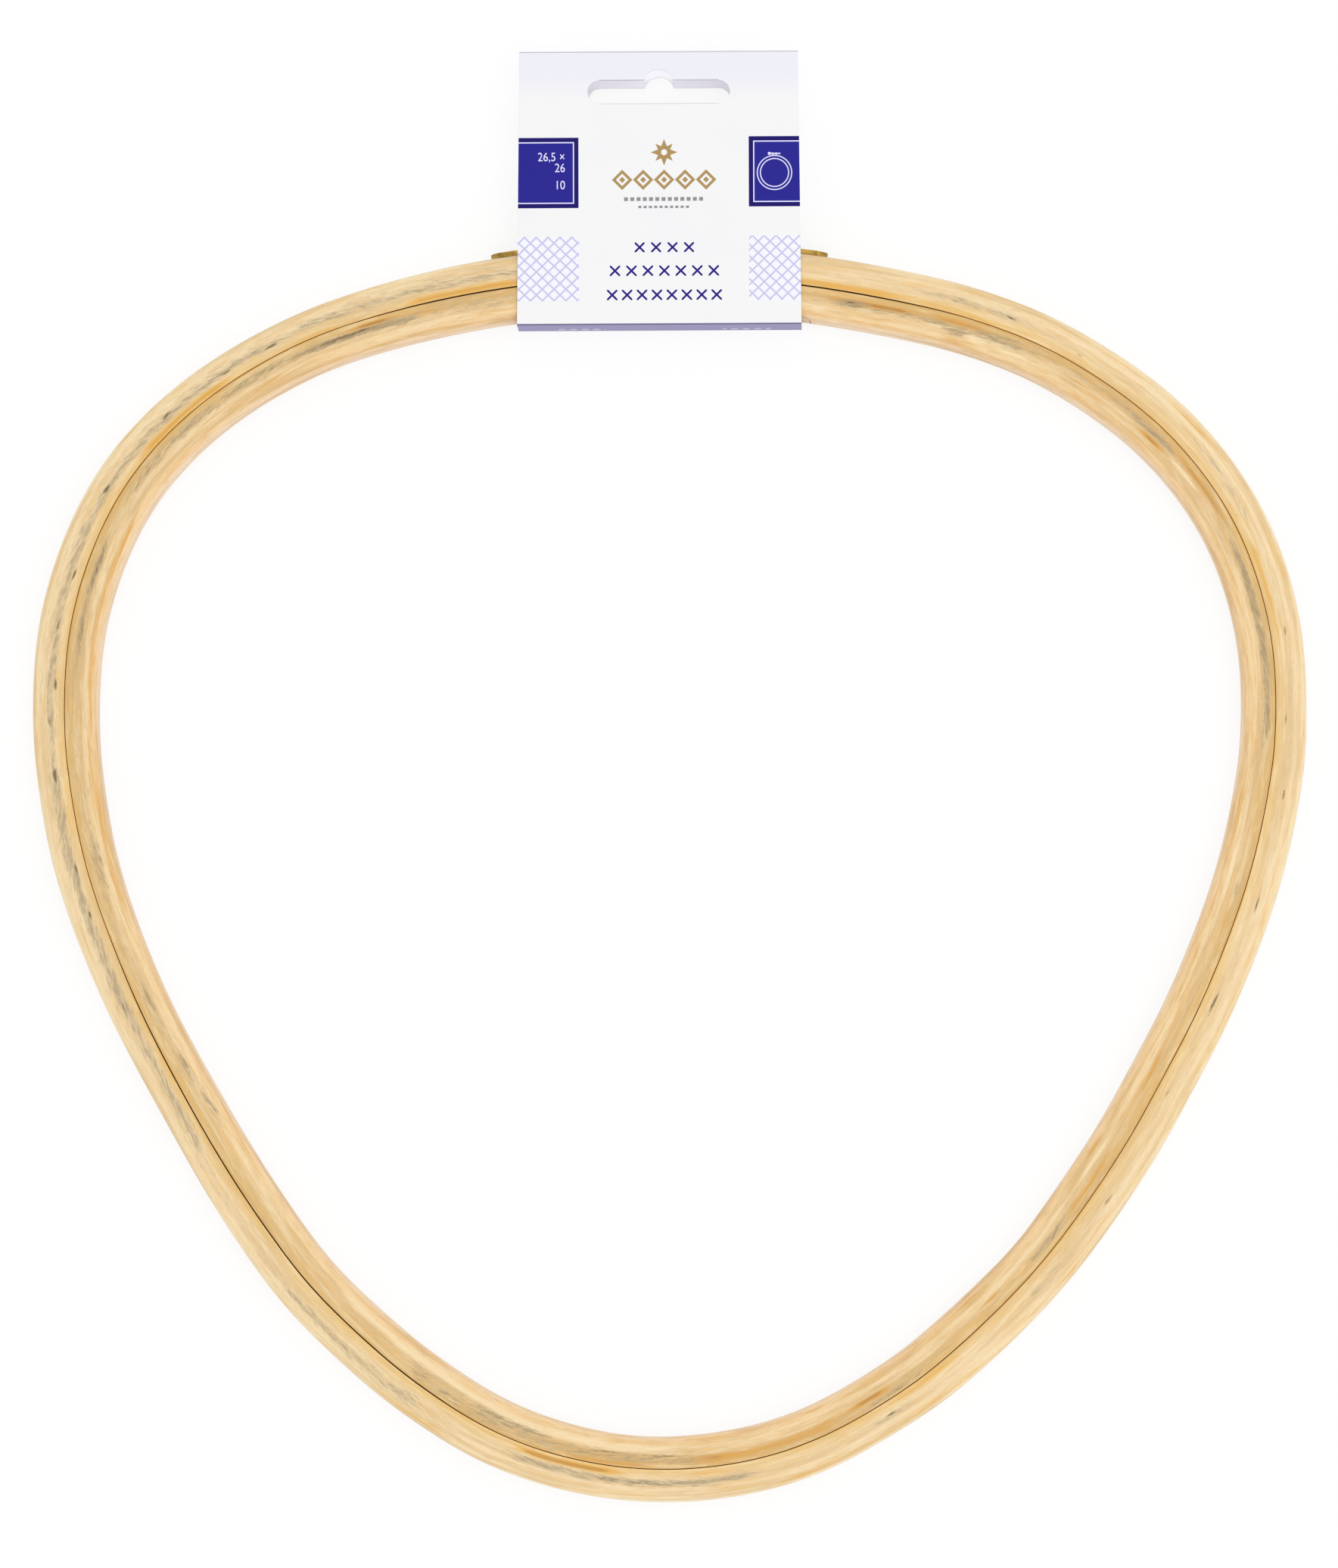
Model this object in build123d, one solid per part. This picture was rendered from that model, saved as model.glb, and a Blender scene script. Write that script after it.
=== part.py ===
from build123d import *
import os
from math import asin, cos, degrees, pi, radians, sin, sqrt

# Embroidery hoop lying on its back. Lengths are in millimetres, angles in degrees.
# +Z is the hoop's axis, up towards the viewer, and +Y points from the hoop's tip to its clamp.
# The pieces are drawn with the top of the seam at the origin and placed at the very end.

# Seam between the two rings: one half of its outline, from the clamp round to the tip
seam_top_radius = 222.0
seam_shoulder_radius = 81.5
seam_tip_radius = 84.7
seam_top_sweep = 18.3
seam_shoulder_sweep = 81.9
seam_side_sweep = 37.5
outline_turn = -0.77  # the clamp sits a little to the left of the outline's line of symmetry

# Wooden rings
ring_depth = 9.0
outer_ring_width = 6.7
inner_ring_width = 6.8
ring_clearance = 0.2
outer_edge_round = 2.2
inner_edge_round = 2.4
seam_edge_round = 0.5
split_gap = 5.0

# Brass brackets
strip_thickness = 1.0
strip_lap = 0.3  # how far the strip reaches over the rounded edges of the wood, each side
strip_reach = 35.0
lug_setback = 0.5
lug_inset = 0.5
lug_hole_clearance = 0.5
fold_round = 0.8

# Nails of the brackets
pin_shank_radius = 0.6
pin_depth = 3.5
pin_head_radius = 1.4
pin_head_rise = 0.7
pin_place_shares = (0.42, 0.76)

# Tension screw and nut
screw_radius = 2.0
screw_tip_chamfer = 0.5
screw_tip_stand = 1.2
head_inset = 0.6
head_lift = 1.3
head_length = 6.5
head_chamfer = 0.5
collar_overhang = 0.9
collar_length = 0.8
knurl_count = 26
knurl_radius = 0.3
driver_slot_width = 1.1
driver_slot_depth = 1.6
nut_inset = 0.46
nut_length = 3.2
nut_chamfer = 0.5
nut_clearance = 0.05
seat_clearance = 0.15
gap_opening = 8.0

# Card sleeve
card_thickness = 0.4
card_width = 59.1
card_top_width = 58.0
card_rise = 47.1
card_clearance = 0.8
card_play = 0.1
hang_slot_width = 29.6
hang_slot_height = 4.8
hang_slot_drop = 6.1
hang_hump_width = 6.3
hang_hump_rise = 2.3

overrun = 20.0  # how far a cutting tool runs past what it cuts

# The seam's side radius follows from the other three, because the outline closes
top_turn = radians(seam_top_sweep)
shoulder_turn = top_turn + radians(seam_shoulder_sweep)
side_turn = shoulder_turn + radians(seam_side_sweep)
seam_side_radius = (
    seam_top_radius * sin(top_turn)
    + seam_shoulder_radius * (sin(shoulder_turn) - sin(top_turn))
    - seam_tip_radius * sin(side_turn)
) / (sin(shoulder_turn) - sin(side_turn))
seam_radii = (seam_top_radius, seam_shoulder_radius, seam_side_radius, seam_tip_radius)
seam_turns = (0, top_turn, shoulder_turn, side_turn, pi)

# Levels above the surface that the hoop lies on
ring_floor = card_thickness + card_play
ring_top = ring_floor + ring_depth
ring_middle = ring_floor + ring_depth / 2
front_floor = ring_top + card_play

# The outer hoop's outside and the clamp's places
top_centre = (0, -seam_top_radius)
outer_offset = ring_clearance / 2 + outer_ring_width
inner_offset = -ring_clearance / 2 - inner_ring_width
outside_radius = seam_top_radius + outer_offset
strip_height = ring_depth - 2 * outer_edge_round + 2 * strip_lap
lug_near = split_gap / 2 + lug_setback
lug_far = lug_near + strip_thickness
head_radius = ring_depth / 2 - head_inset
screw_line = outer_offset + strip_thickness + head_lift + head_radius


def about_top_centre(angle):
    """Turn about the centre of the outline's top arc."""
    x, y = top_centre
    return Pos(x, y) * Rot(0, 0, angle) * Pos(-x, -y)


def seam_centres():
    """Centres of the four arcs of the seam's right half."""
    centres = [top_centre]
    for turn, before, after in zip(seam_turns[1:], seam_radii, seam_radii[1:]):
        x, y = centres[-1]
        centres.append((x + (before - after) * sin(turn), y + (before - after) * cos(turn)))
    return centres


def full_ring(low_offset, high_offset, low_round, high_round):
    """Endless ring between two offsets from the seam, each pair of long edges with its own rounding."""
    width = high_offset - low_offset
    section = Rectangle(width, ring_depth)
    section = fillet(section.vertices().group_by(Axis.X)[0], low_round)
    section = fillet(section.vertices().group_by(Axis.X)[-1], high_round)
    half = None
    for centre, radius, start, end in zip(seam_centres(), seam_radii, seam_turns, seam_turns[1:]):
        profile = Plane.XZ * Pos(radius + low_offset + width / 2, ring_middle) * section
        arc = revolve(profile, Axis.Z, degrees(end - start))
        arc = Pos(*centre) * Rot(0, 0, 90 - degrees(end)) * arc
        half = arc if half is None else half + arc
    return about_top_centre(outline_turn) * (half + mirror(half, about=Plane.YZ))


def tip_place():
    """The outermost point of the hoop's tip, where the outer hoop flexes."""
    centre = about_top_centre(outline_turn) * Pos(*seam_centres()[-1])
    return centre.position.X, centre.position.Y - seam_tip_radius - outer_offset


def outer_hoop():
    """The two halves of the outer hoop, left and right, divided at the tip."""
    ring = full_ring(ring_clearance / 2, outer_offset, seam_edge_round, outer_edge_round)
    ring -= Pos(0, 0, ring_middle) * Box(split_gap, 2 * overrun, 2 * overrun)
    tip_x, _ = tip_place()
    plane = Plane(origin=(tip_x, 0, 0), z_dir=(1, 0, 0))
    return split(ring, plane, keep=Keep.BOTTOM), split(ring, plane, keep=Keep.TOP)


def inner_hoop():
    """The endless inner ring."""
    return full_ring(inner_offset, -ring_clearance / 2, inner_edge_round, seam_edge_round)


def pin():
    """Nail with a domed head, its shank pointing down from the origin along -Y."""
    shank_end = -strip_thickness - pin_depth
    outline = [
        Line((0, shank_end), (pin_shank_radius, shank_end)),
        Line((pin_shank_radius, shank_end), (pin_shank_radius, 0)),
        Line((pin_shank_radius, 0), (pin_head_radius, 0)),
        RadiusArc((pin_head_radius, 0), (0, pin_head_rise), -dome_radius()),
        Line((0, pin_head_rise), (0, shank_end)),
    ]
    return revolve(make_face(Wire(outline)), Axis.Y)


def dome_radius():
    return (pin_head_radius ** 2 + pin_head_rise ** 2) / (2 * pin_head_rise)


def right_pins():
    """The right bracket's nails, driven square to the hoop's outside."""
    seat = Pos(0, outer_offset + strip_thickness, ring_middle)
    pins = []
    for share in pin_place_shares:
        x = lug_far + share * (strip_reach - lug_far)
        pins.append(about_top_centre(-degrees(asin(x / outside_radius))) * seat * pin())
    return pins


def right_bracket():
    """Strip along the hoop's outside with a round end, folded up beside the split into a lug."""
    band = Pos(outside_radius + strip_thickness / 2, ring_middle) * Rectangle(strip_thickness, strip_height)
    start = asin(lug_near / outside_radius)
    end = asin(strip_reach / outside_radius)
    strip = revolve(Plane.XZ * band, Axis.Z, degrees(end - start))
    strip = Pos(*top_centre) * Rot(0, 0, 90 - degrees(end)) * strip
    end_radius = strip_height / 2
    round_turn = degrees(asin((strip_reach - end_radius) / outside_radius))
    waste = Pos(end_radius, 0) * Box(2 * end_radius, 2 * end_radius, strip_height)
    waste -= Rot(90, 0, 0) * Cylinder(end_radius, 2 * end_radius)
    strip -= about_top_centre(-round_turn) * Pos(0, outer_offset, ring_middle) * waste

    lug_radius = ring_depth / 2 - lug_inset
    neck_floor = sqrt(outside_radius ** 2 - lug_near ** 2) - seam_top_radius
    neck = Rectangle(screw_line - neck_floor, strip_height)
    lug = Pos((screw_line + neck_floor) / 2, 0) * neck + Pos(screw_line, 0) * Circle(lug_radius)
    lug -= Pos(screw_line, 0) * Circle(screw_radius + lug_hole_clearance)
    lug_plane = Plane(origin=(lug_near, 0, ring_middle), x_dir=(0, 1, 0), z_dir=(1, 0, 0))
    bracket = strip + extrude(lug_plane * lug, strip_thickness)
    upright = bracket.edges().filter_by(Axis.Z)
    outside_edge = upright.sort_by(lambda e: e.center().X + e.center().Y)[0]
    bracket = fillet(outside_edge, fold_round + strip_thickness)
    corner = Vector(lug_far, outer_offset + strip_thickness, ring_middle)
    inside_edge = bracket.edges().filter_by(Axis.Z).sort_by(lambda e: (e.center() - corner).length)[0]
    return fillet(inside_edge, fold_round)


def tension_screw():
    """Screw along X: knurled, slotted head beside the left lug, then a collar and the shank."""
    head_end = -lug_far - seat_clearance - collar_length
    tip = lug_far + gap_opening + seat_clearance + nut_length + screw_tip_stand
    head = Cylinder(head_radius, head_length)
    head = chamfer(head.edges(), head_chamfer)
    for groove in PolarLocations(head_radius, knurl_count):
        head -= groove * Cylinder(knurl_radius, head_length)
    slot_bottom = -head_length / 2 + driver_slot_depth
    slot = Box(driver_slot_width, 2 * head_radius, driver_slot_depth)
    head -= Pos(0, 0, slot_bottom - driver_slot_depth / 2) * slot
    head = Pos(0, 0, head_end - head_length / 2) * head
    collar = Pos(0, 0, head_end + collar_length / 2) * Cylinder(screw_radius + collar_overhang, collar_length)
    shank = Cylinder(screw_radius, tip - head_end)
    shank = chamfer(shank.edges().sort_by(Axis.Z)[-1], screw_tip_chamfer)
    shank = Pos(0, 0, (tip + head_end) / 2) * shank
    return Pos(0, screw_line, ring_middle) * Rot(0, 90, 0) * (head + collar + shank)


def tension_nut():
    """Hexagon nut on the shank, outside the right lug."""
    corner_radius = ring_depth / 2 - nut_inset
    nut = extrude(RegularPolygon(corner_radius, 6), nut_length)
    cone = Cylinder(corner_radius, nut_length, align=(Align.CENTER, Align.CENTER, Align.MIN))
    nut &= chamfer(cone.edges().filter_by(GeomType.CIRCLE), nut_chamfer)
    nut -= Cylinder(screw_radius + nut_clearance, 2 * overrun)
    return Pos(lug_far + seat_clearance, screw_line, ring_middle) * Rot(0, 90, 0) * nut


def card_fold_place():
    """Y of the spine's outer face: the spine clears the inner ring at the card's sides."""
    ring_inside = seam_top_radius + inner_offset
    side_y = sqrt(ring_inside ** 2 - (card_width / 2) ** 2) - seam_top_radius
    return side_y - card_clearance - card_thickness


def card_panel():
    """Panel from the fold to the top edge, with the hanging slot and its hump."""
    fold = card_fold_place()
    outline = Polyline(
        (-card_width / 2, fold), (card_width / 2, fold),
        (card_top_width / 2, card_rise), (-card_top_width / 2, card_rise), close=True)
    slot_top = card_rise - hang_slot_drop
    slot = Pos(0, slot_top - hang_slot_height / 2) * SlotOverall(hang_slot_width, hang_slot_height)
    hump_radius = hang_hump_width / 2
    slot += Pos(0, slot_top + hang_hump_rise - hump_radius) * Circle(hump_radius)
    return extrude(make_face(outline) - slot, card_thickness)


def card_spine():
    """Narrow fold of the card inside the rings, between its two panels."""
    middle = card_fold_place() + card_thickness / 2
    return Pos(0, middle, front_floor / 2) * Box(card_width, card_thickness, front_floor)


outer_left, outer_right = outer_hoop()
pins_right = Compound(right_pins())
pins_left = mirror(pins_right, about=Plane.YZ)
bracket_right = right_bracket()
bracket_left = mirror(bracket_right, about=Plane.YZ)

nodes = {
    "outer_hoop_left": outer_left - pins_left,
    "outer_hoop_right": outer_right - pins_right,
    "inner_hoop": inner_hoop(),
    "clamp_bracket_left": bracket_left - pins_left,
    "clamp_bracket_right": bracket_right - pins_right,
    "bracket_pins_left": pins_left,
    "bracket_pins_right": pins_right,
    "tension_screw": tension_screw(),
    "tension_nut": tension_nut(),
    "card_front_panel": Pos(0, 0, front_floor) * card_panel(),
    "card_back_panel": card_panel() + card_spine(),
}

# The origin is under the middle of the whole object
box = Compound([nodes["outer_hoop_left"], nodes["outer_hoop_right"], nodes["card_back_panel"]]).bounding_box()
middle_x = (box.min.X + box.max.X) / 2
middle_y = (box.min.Y + box.max.Y) / 2
tip_x, tip_y = tip_place()
places = {
    "hoop flex axis": (tip_x, tip_y, ring_middle),
    "screw axis": (0, screw_line, ring_middle),
    "card fold axis": (0, card_fold_place(), front_floor),
    "top centre": (*top_centre, ring_middle),
    "seam top": (0, 0, ring_top),
    "hanging slot": (0, card_rise - hang_slot_drop - hang_slot_height / 2, front_floor),
}
for name, (x, y, z) in places.items():
    print(f"{name}: {x - middle_x:.5f} {y - middle_y:.5f} {z:.5f}")
print(f"seam side radius: {seam_side_radius:.3f}")

os.makedirs("parts", exist_ok=True)
for name, shape in nodes.items():
    export_step(Pos(-middle_x, -middle_y) * shape, f"parts/{name}.step")
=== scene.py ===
import math

import bmesh
import bpy
import numpy as np
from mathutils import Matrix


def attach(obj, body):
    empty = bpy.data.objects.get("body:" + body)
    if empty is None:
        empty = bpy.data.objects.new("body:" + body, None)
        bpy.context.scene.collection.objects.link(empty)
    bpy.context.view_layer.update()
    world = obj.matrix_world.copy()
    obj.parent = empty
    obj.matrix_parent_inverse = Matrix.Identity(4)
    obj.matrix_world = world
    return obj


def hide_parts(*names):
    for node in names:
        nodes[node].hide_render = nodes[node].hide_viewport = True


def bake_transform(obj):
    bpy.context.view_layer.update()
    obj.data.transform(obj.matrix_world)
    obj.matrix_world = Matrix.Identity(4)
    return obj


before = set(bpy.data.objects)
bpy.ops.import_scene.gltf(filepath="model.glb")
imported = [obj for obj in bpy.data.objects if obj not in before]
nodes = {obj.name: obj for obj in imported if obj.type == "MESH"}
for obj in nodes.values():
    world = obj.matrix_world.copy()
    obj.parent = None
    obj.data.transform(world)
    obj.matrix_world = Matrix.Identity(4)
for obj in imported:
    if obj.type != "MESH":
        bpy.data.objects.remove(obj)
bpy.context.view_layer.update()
mm = 0.001
print("frame loaded with", len(nodes), "solids")


# Values and nodes of the materials

def paint(code):
    # a colour as it looks on screen, in hex, turned into the linear one that sockets hold
    channels = np.array([int(code[i:i + 2], 16) for i in (1, 3, 5)]) / 255
    linear = np.where(channels > 0.04045, ((channels + 0.055) / 1.055) ** 2.4, channels / 12.92)
    return (*linear.tolist(), 1.0)


class Flow:
    # a value inside a material; each sign written on it in Python adds the Math node that does the same
    def __init__(self, owner, socket):
        self.owner = owner
        self.socket = socket

    def count(self, operation, *values):
        return self.owner.add("ShaderNodeMath", {"operation": operation}, dict(enumerate(values)))

    def __add__(self, other):
        return self.count("ADD", self, other)

    def __radd__(self, other):
        return self.count("ADD", other, self)

    def __sub__(self, other):
        return self.count("SUBTRACT", self, other)

    def __rsub__(self, other):
        return self.count("SUBTRACT", other, self)

    def __mul__(self, other):
        return self.count("MULTIPLY", self, other)

    def __rmul__(self, other):
        return self.count("MULTIPLY", other, self)

    def __truediv__(self, other):
        return self.count("DIVIDE", self, other)

    def __rtruediv__(self, other):
        return self.count("DIVIDE", other, self)

    def __abs__(self):
        return self.count("ABSOLUTE", self)

    def __mod__(self, other):
        return self.count("FLOORED_MODULO", self, other)

    def __rmod__(self, other):
        return self.count("FLOORED_MODULO", other, self)

    def least(self, other):
        return self.count("MINIMUM", self, other)

    def most(self, other):
        return self.count("MAXIMUM", self, other)

    def ease(self, start, end):
        # 0 below start, 1 above end and a soft rise between them; it falls where end is the lower one
        sockets = {"Value": self, "From Min": start, "From Max": end}
        return self.owner.add("ShaderNodeMapRange", {"interpolation_type": "SMOOTHSTEP"}, sockets)

    def within(self, low, high, soft):
        # 1 between low and high, with soft edges
        return self.ease(low - soft, low + soft) * self.ease(high + soft, high - soft)


class Nodes:
    # the node tree of a material or of the world
    def __init__(self, tree):
        self.tree = tree

    def add(self, kind, settings=None, sockets=None, output=0):
        # one node: its settings first, then the values or links of its sockets; gives one output's flow
        node = self.tree.nodes.new(kind)
        for name, value in (settings or {}).items():
            if name == "stops":
                self.setStops(node.color_ramp, value)
            else:
                setattr(node, name, value)
        for name, value in (sockets or {}).items():
            self.fill(node.inputs[name], value)
        return Flow(self, node.outputs[output])

    def fill(self, socket, value):
        if isinstance(value, Flow):
            self.tree.links.new(value.socket, socket)
        else:
            socket.default_value = value

    def setStops(self, ramp, stops):
        while len(ramp.elements) < len(stops):
            ramp.elements.new(0.5)
        for element, (place, colour) in zip(ramp.elements, stops):
            element.position = place
            element.color = paint(colour)

    def split(self, vector):
        # the three numbers of a vector
        node = self.tree.nodes.new("ShaderNodeSeparateXYZ")
        self.fill(node.inputs[0], vector)
        return [Flow(self, output) for output in node.outputs]

    def join(self, x, y, z):
        return self.add("ShaderNodeCombineXYZ", None, {0: x, 1: y, 2: z})

    def mix(self, share, first, second):
        # a colour: first where share is 0, second where it is 1
        sockets = {0: share, 6: first, 7: second}
        return self.add("ShaderNodeMix", {"data_type": "RGBA"}, sockets, output=2)

    def scaled(self, vector, scale, shift):
        larger = self.add("ShaderNodeVectorMath", {"operation": "MULTIPLY"}, {0: vector, 1: scale})
        return self.add("ShaderNodeVectorMath", {"operation": "ADD"}, {0: larger, 1: shift})

    def noise(self, vector, scale, shift=(0, 0, 0), detail=2.0, roughness=0.5):
        moved = self.scaled(vector, scale, shift)
        sockets = {"Vector": moved, "Scale": 1.0, "Detail": detail, "Roughness": roughness}
        return self.add("ShaderNodeTexNoise", {"noise_dimensions": "3D"}, sockets)

    def seenPlain(self):
        # 1 where the camera, a mirror or glass looks, 0 where light is gathered
        kinds = ("Is Camera Ray", "Is Glossy Ray", "Is Transmission Ray")
        camera, glossy, through = [self.add("ShaderNodeLightPath", output=kind) for kind in kinds]
        return camera.most(glossy).most(through)


class Finish(Nodes):
    # one material: a Principled shader whose constants are set by name, and nodes that feed it
    def __init__(self, name, constants):
        self.material = bpy.data.materials.new(name)
        self.material.use_nodes = True
        super().__init__(self.material.node_tree)
        self.shader = self.tree.nodes["Principled BSDF"]
        self.colour = None
        for socket, value in constants.items():
            self.feed(socket, value)

    def feed(self, socket, value):
        self.fill(self.shader.inputs[socket], value)

    def place(self):
        # where a point is on the object, in metres
        return self.add("ShaderNodeTexCoord", output="Object")

    def lay(self, share, code):
        # one more colour over what is there
        self.colour = self.mix(share, self.colour, paint(code))

    def emboss(self, height, strength, distance):
        sockets = {"Strength": strength, "Distance": distance, "Height": height}
        self.feed("Normal", self.add("ShaderNodeBump", None, sockets))


# Meshes

def skin(name, points, wrapRows=False, wrapColumns=False, caps=False, flow=None, marks=None, sharp=None):
    # quads between the neighbours of a grid of points, rows by columns; both directions may close on
    # themselves, and caps close the first and last row; turned over where the volume comes out negative
    rows, columns = points.shape[:2]
    flat = points.reshape(-1, 3)
    index = np.arange(rows * columns).reshape(rows, columns)
    row, column = np.meshgrid(np.arange(rows + 1), np.arange(columns + 1), indexing="ij")
    index = index[row % rows, column % columns]
    index = index[:rows + wrapRows, :columns + wrapColumns]
    corners = [(0, 0), (0, 1), (1, 1), (1, 0)]
    height, width = index.shape
    quads = np.stack([index[a:height - 1 + a, b:width - 1 + b] for a, b in corners], axis=-1).reshape(-1, 4)
    faces = quads.tolist()
    if caps:
        faces += [index[0, :columns][::-1].tolist(), index[-1, :columns].tolist()]
    a, b, c, d = (flat[quads[:, k]] for k in range(4))
    volume = (a * np.cross(b, c)).sum() + (a * np.cross(c, d)).sum()
    turned = volume < 0
    if turned:
        faces = [face[::-1] for face in faces]
    mesh = bpy.data.meshes.new(name)
    mesh.from_pydata(flat.tolist(), [], faces)
    if flow is not None:
        along, across = flow
        grid = np.stack([along[row[:height, :width]], across[column[:height, :width]]], axis=-1)
        cells = [grid[a:height - 1 + a, b:width - 1 + b] for a, b in corners]
        pairs = np.stack(cells, axis=-2).reshape(-1, 4, 2)
        if turned:
            pairs = pairs[:, ::-1]
        pairs = pairs.reshape(-1, 2)
        if caps:
            first = np.stack([np.full(columns, along[0]), across[:columns]], -1)
            last = np.stack([np.full(columns, along[rows - 1]), across[:columns]], -1)
            ends = [first[::-1], last] if not turned else [first, last[::-1]]
            pairs = np.vstack([pairs, *ends])
        layer = mesh.uv_layers.new(name="flow")
        layer.data.foreach_set("uv", pairs.astype(np.float32).ravel())
    for mark, values in (marks or {}).items():
        vector = values.ndim == 3
        kind = "FLOAT_VECTOR" if vector else "FLOAT"
        attribute = mesh.attributes.new(mark, kind, "POINT")
        attribute.data.foreach_set("vector" if vector else "value", values.astype(np.float32).ravel())
    mesh.polygons.foreach_set("use_smooth", np.ones(len(mesh.polygons), bool))
    if sharp is not None:
        mesh.set_sharp_from_angle(angle=math.radians(sharp))
    mesh.update()
    piece = bpy.data.objects.new(name, mesh)
    bpy.context.scene.collection.objects.link(piece)
    return piece


def roundedSection(low, high, bottom, top, lowRound, highRound, arcSteps, edgeSteps, crown=0.0):
    # closed section: four quarter circles joined by straight runs (under, outside, top, inside), turning
    # anticlockwise; crown draws the top and the underside in by a square law of the distance from their
    # middle, by all of it at their edges
    corners = [(low + lowRound, bottom + lowRound, lowRound, 180),
               (high - highRound, bottom + highRound, highRound, 270),
               (high - highRound, top - highRound, highRound, 0),
               (low + lowRound, top - lowRound, lowRound, 90)]
    parts = []
    for corner, following, steps in zip(corners, corners[1:] + corners[:1], edgeSteps):
        x, z, r, start = corner
        xNext, zNext, rNext, startNext = following
        turn = np.radians(np.linspace(start, start + 90, arcSteps + 1))
        arc = np.column_stack([x + r * np.cos(turn), z + r * np.sin(turn)])
        entry = np.radians(startNext)
        goal = np.array([xNext + rNext * np.cos(entry), zNext + rNext * np.sin(entry)])
        share = np.linspace(0, 1, steps + 1)[1:-1, None]
        parts += [arc, arc[-1] * (1 - share) + goal * share]
    section = np.vstack(parts)
    middle = (bottom + top) / 2
    across = (section[:, 0] - (low + high) / 2) / ((high - low) / 2)
    lift = (section[:, 1] - middle) / (top - middle)
    section[:, 1] -= crown * across ** 2 * lift
    return section


def finishPiece(piece, body, finish, replaced):
    piece.data.materials.append(finish.material)
    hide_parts(*replaced)
    if body is not None:
        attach(piece, body)


# The outline that both wooden rings follow: arcs of four radii from the top to the tip, then mirrored

hoop = {
    "radii": (222.0, 81.5, 216.348, 84.7),      # mm
    "sweeps": (18.3, 81.9, 37.5, 42.3),         # degrees
    "turn": -0.77,              # degrees, about the centre of the top arc
    "clampX": -1.79264,
    "clampY": 103.25117,
    "bottom": 0.5,
    "top": 9.5,
    "stations": 1150,
    "arcSteps": 7,
    "edgeSteps": (5, 4, 24, 5),
    "crown": 0.12,              # the top and the underside are drawn in by this much at their edges
    "openSeam": 0.05,           # each strip stands this much nearer the other where the seam is tight
    # stretches of the seam: (from, to, how open it is and how dark its painted shade is)
    "seam": ((-20, 62, 1.0), (300, 425, 0.15), (425, 560, 0.8), (715, 805, 1.1)),
    "seamFade": 20.0,
    "streakFade": 6.0,
    # bent wood isn't even: both rings swing outwards (+) or inwards, as (place, half length, by how much)
    "bends": (
        (60, 13, 0.35), (92, 14, -0.35), (132, 18, 0.4), (173, 12, -0.25), (208, 18, 0.45),
        (254, 12, -0.35), (300, 16, 0.45), (344, 16, -0.6), (442, 13, -0.45), (476, 14, 0.6),
        (522, 20, -0.55), (576, 18, 0.65), (610, 14, -0.4), (656, 16, 0.4), (696, 18, -0.5)),
}
arcRadii = np.array(hoop["radii"])
arcStarts = np.radians(np.concatenate([[0], np.cumsum(hoop["sweeps"])[:3]]))
arcLengths = arcRadii * np.radians(hoop["sweeps"])
arcPlaces = np.concatenate([[0], np.cumsum(arcLengths)])
hoopLength = 2 * arcPlaces[-1]
centreSteps = arcRadii[:-1] - arcRadii[1:]
centreX = np.concatenate([[0], np.cumsum(centreSteps * np.sin(arcStarts[1:]))])
centreY = np.concatenate([[0], np.cumsum(centreSteps * np.cos(arcStarts[1:]))]) - arcRadii[0]


def hoopPlace(along, offset):
    # point of the outline: along is the distance clockwise from the top, offset the distance outwards;
    # place = centre of the arc + (radius + offset) * (sine, cosine) of the angle reached on that arc
    walked = np.mod(along, hoopLength)
    right = walked <= hoopLength / 2
    walked = np.where(right, walked, hoopLength - walked)
    arc = np.clip(np.searchsorted(arcPlaces, walked, side="right") - 1, 0, 3)
    angle = arcStarts[arc] + (walked - arcPlaces[arc]) / arcRadii[arc]
    x = centreX[arc] + (arcRadii[arc] + offset) * np.sin(angle)
    y = centreY[arc] + (arcRadii[arc] + offset) * np.cos(angle)
    x = np.where(right, x, -x)
    turn = math.radians(hoop["turn"])
    fromCentre = y + arcRadii[0]
    turnedX = x * math.cos(turn) - fromCentre * math.sin(turn)
    turnedY = x * math.sin(turn) + fromCentre * math.cos(turn) - arcRadii[0]
    return turnedX + hoop["clampX"], turnedY + hoop["clampY"]


def swell(bumps, along):
    # sum of bumps: height * exp(-((along - middle) / half length) ^ 2)
    middle, half, height = np.array(bumps, float).T
    return (height * np.exp(-((along[..., None] - middle) / half) ** 2)).sum(axis=-1)


def rise(along, start, end, longest):
    # soft start and end of a streak: climbs from 0 to 1 within the fade's length, and falls the same way
    fade = min(longest, (end - start) * 0.4)
    return np.clip((along - start) / fade, 0, 1) * np.clip((end - along) / fade, 0, 1)


def streakField(streaks, along, inward):
    # sum of streaks: strength * (rise and fall along it) * exp(-((distance - middle) / half width) ^ 2)
    field = 0
    for start, end, middle, half, strength in streaks:
        length = rise(along, start, end, hoop["streakFade"])
        field = field + strength * length * np.exp(-((inward - middle) / half) ** 2)
    return field


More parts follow.
